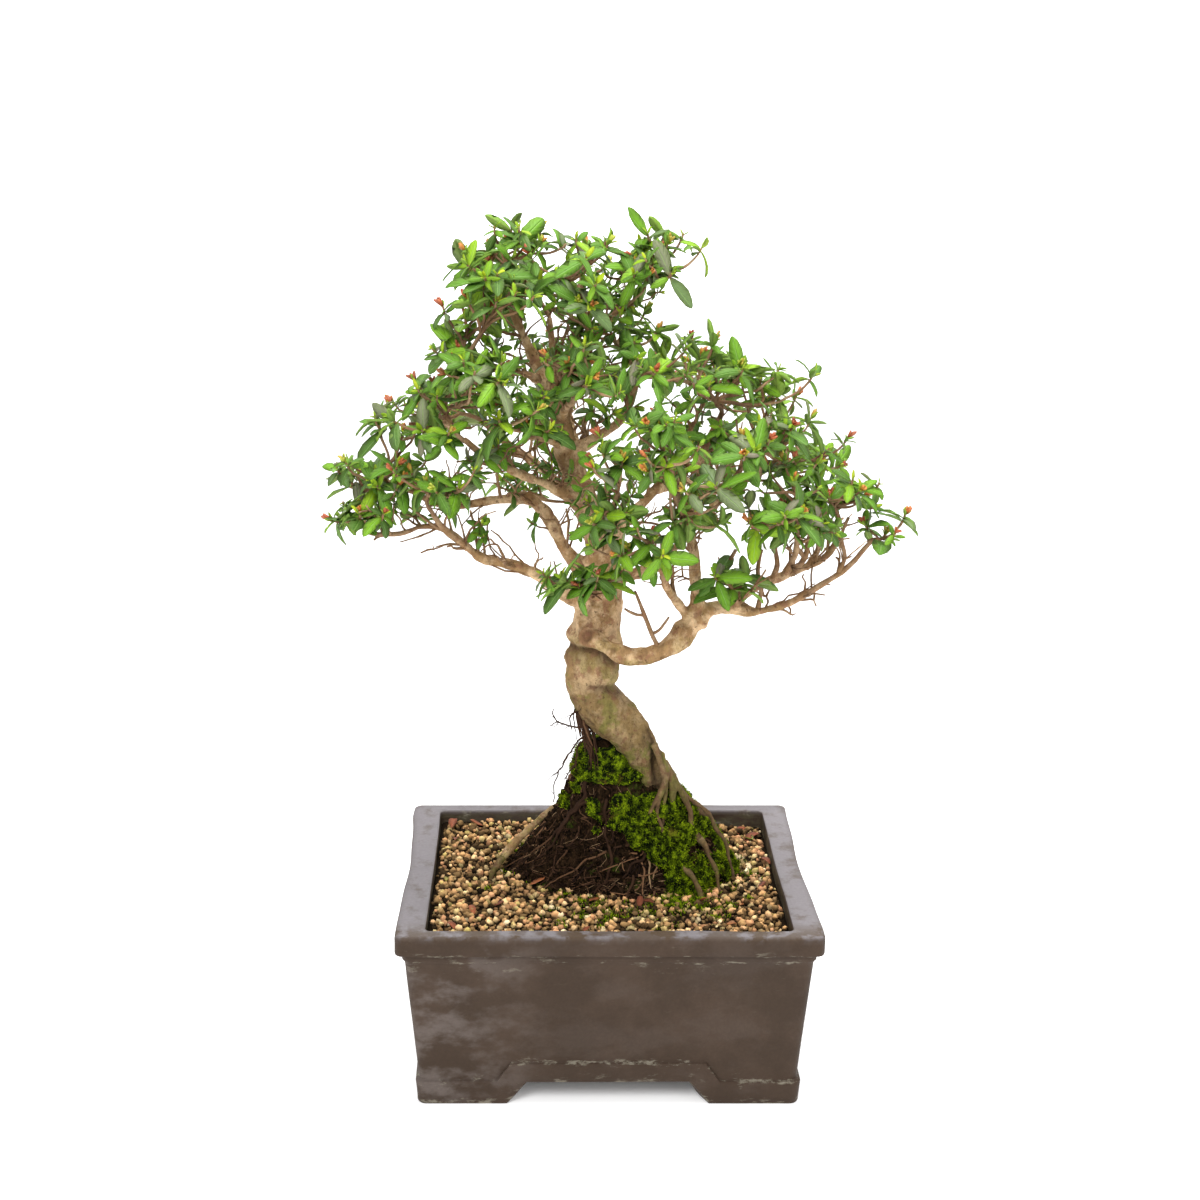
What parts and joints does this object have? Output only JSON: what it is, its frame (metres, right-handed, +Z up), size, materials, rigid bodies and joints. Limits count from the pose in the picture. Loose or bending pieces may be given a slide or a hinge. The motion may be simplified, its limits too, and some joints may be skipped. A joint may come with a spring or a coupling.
{
  "type": "potted satsuki azalea bonsai",
  "caption": "Small satsuki azalea bonsai with a bent, leaning trunk and open pads of leaves, on a mossy mound of roots in a rectangular fired-clay pot with feet.",
  "frame": {"origin": "bottom centre of the bounding box of tree and pot together, on the ground under the pot", "axes": "+Z up, +X to the right and +Y to the back as the front of the tree is seen, along the pot's long and short sides"},
  "size_m": [0.316, 0.2024, 0.4611],
  "materials": {
    "fired_clay": "unglazed grey-brown clay, matte, with pale mineral deposits",
    "screen_plastic": "black moulded mesh",
    "granules": "loose tan and pinkish clay granules, matte",
    "root_earth": "dark earth bound by fine roots, matte",
    "moss": "living moss, soft and matte",
    "bark": "smooth pale bark with green algae and red-brown patches",
    "foliage": "small glossy green leaves on thin brown twigs"
  },
  "bodies": {
    "root": {"drain_screen_left": "screen_plastic", "drain_screen_right": "screen_plastic", "moss": "moss", "pot": "fired_clay", "root_mound": "root_earth", "soil": "granules", "spray_back_left_limb": "foliage", "spray_back_low": "foliage", "spray_back_middle": "foliage", "spray_back_right_limb": "foliage", "spray_back_right_low": "foliage", "spray_back_top": "foliage", "spray_front_top": "foliage", "spray_front_upper": "foliage", "spray_knob_shoot": "foliage", "spray_left_leader": "foliage", "spray_left_lower": "foliage", "spray_left_middle": "foliage", "spray_left_tip": "foliage", "spray_left_upper": "foliage", "spray_middle_front": "foliage", "spray_right_back": "foliage", "spray_right_inner": "foliage", "spray_right_leader": "foliage", "spray_right_leader_twig": "foliage", "spray_right_main": "foliage", "spray_right_rise": "foliage", "spray_right_rise_front": "foliage", "spray_right_rise_side": "foliage", "spray_right_upper": "foliage", "spray_right_upright": "foliage", "spray_trunk_front": "foliage", "spray_trunk_low": "foliage", "spray_upper_left": "foliage", "tree": "bark"}
  },
  "joints": []
}
